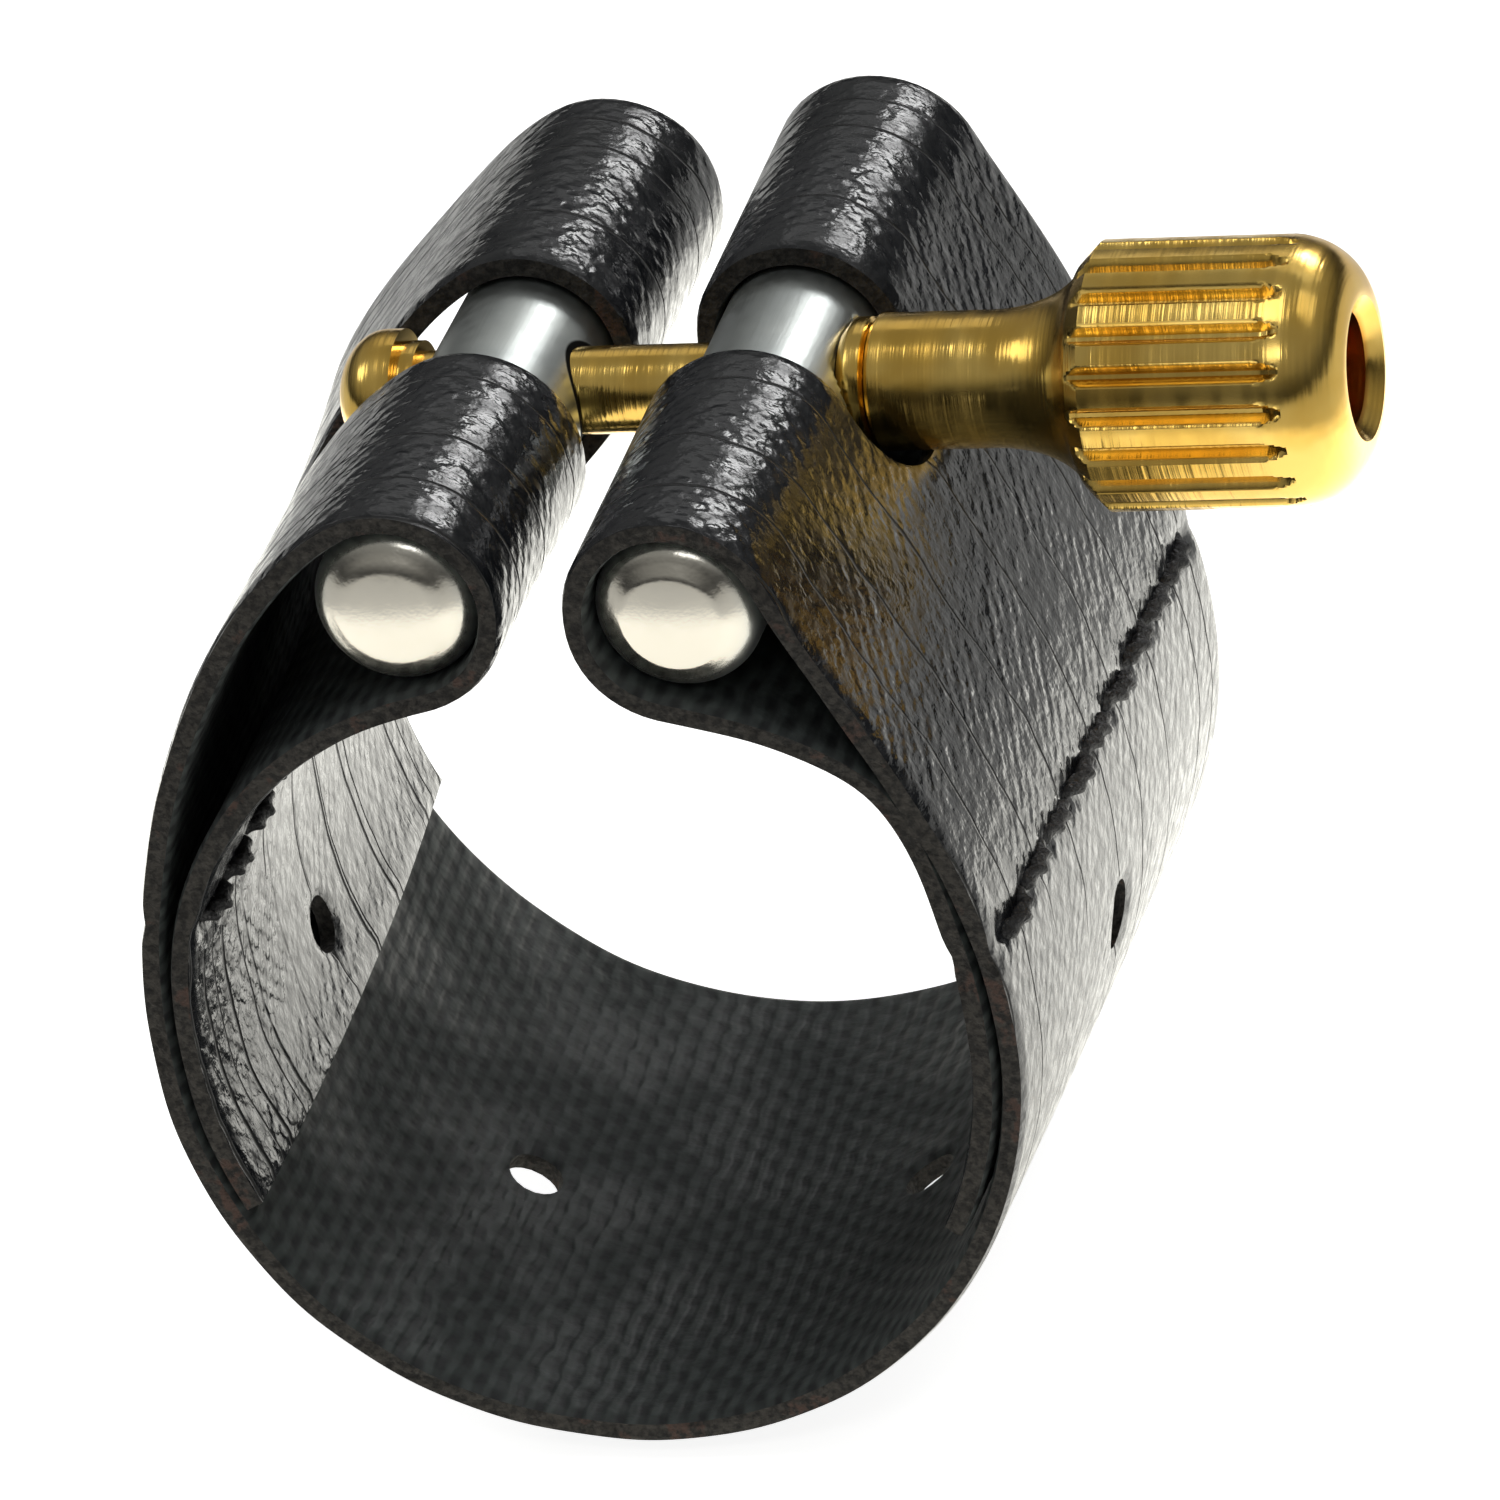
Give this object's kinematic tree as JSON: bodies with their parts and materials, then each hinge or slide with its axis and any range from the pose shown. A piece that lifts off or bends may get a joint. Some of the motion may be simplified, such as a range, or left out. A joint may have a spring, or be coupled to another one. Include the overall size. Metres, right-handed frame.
{
  "type": "saxophone ligature",
  "caption": "Strap ligature: a coated woven strap ring with folded ends over steel cross rods, drawn together by a brass screw, collar and fluted thumb nut.",
  "frame": {"origin": "centre of the strap ring, half way along its width", "axes": "+X along the screw towards the thumb nut, +Y along the mouthpiece, +Z from the ring's centre up to the screw"},
  "size_m": [0.0364, 0.0256, 0.0312],
  "materials": {
    "strap_coating": "glossy black rubbery coating over a coarse weave, cracked along the strap",
    "seam_thread": "waxed black sewing thread",
    "rod_steel": "satin drawn steel with polished ends",
    "brass": "polished lacquered brass with fine turning marks"
  },
  "bodies": {
    "strap_left": {"strap_left": "strap_coating", "seam_thread_left": "seam_thread"},
    "strap_right": {"strap_right": "strap_coating", "seam_thread_right": "seam_thread"},
    "screw": {"screw": "brass", "rod_left": "rod_steel"},
    "rod_right": {"rod_right": "rod_steel"},
    "collar": {"collar": "brass"},
    "thumb_nut": {"thumb_nut": "brass"}
  },
  "joints": [
    {"name": "strap_flex", "type": "hinge", "parent": "strap_left", "child": "strap_right", "pos_m": [0, 0, -0.01251], "axis": [0, -1, 0], "range_deg": [-5.6, 2.85]},
    {"name": "screw_swivel", "type": "hinge", "parent": "strap_left", "child": "screw", "pos_m": [-0.00325, 0, 0.0139], "axis": [0, -1, 0], "range_deg": [-3.4, 1.75]},
    {"name": "rod_right_swivel", "type": "hinge", "parent": "strap_right", "child": "rod_right", "pos_m": [0.00485, 0.0005, 0.0139], "axis": [0, -0.9993, -0.0384], "range_deg": [-1.15, 2.25]},
    {"name": "collar_slide", "type": "slide", "parent": "screw", "child": "collar", "axis": [1, 0, 0], "range_m": [-0.0013, 0.0026]},
    {"name": "nut_turn", "type": "hinge", "parent": "collar", "child": "thumb_nut", "pos_m": [0.015, 0.0005, 0.0139], "axis": [-1, 0, 0], "range_deg": [-1440, 720]}
  ],
  "couplings": [
    {"joint": "strap_flex", "follows": "nut_turn", "ratio": 0.0038266},
    {"joint": "screw_swivel", "follows": "nut_turn", "ratio": 0.0022913},
    {"joint": "rod_right_swivel", "follows": "nut_turn", "ratio": -0.0015353},
    {"joint": "collar_slide", "follows": "nut_turn", "m_per_rad": -0.00010106}
  ]
}
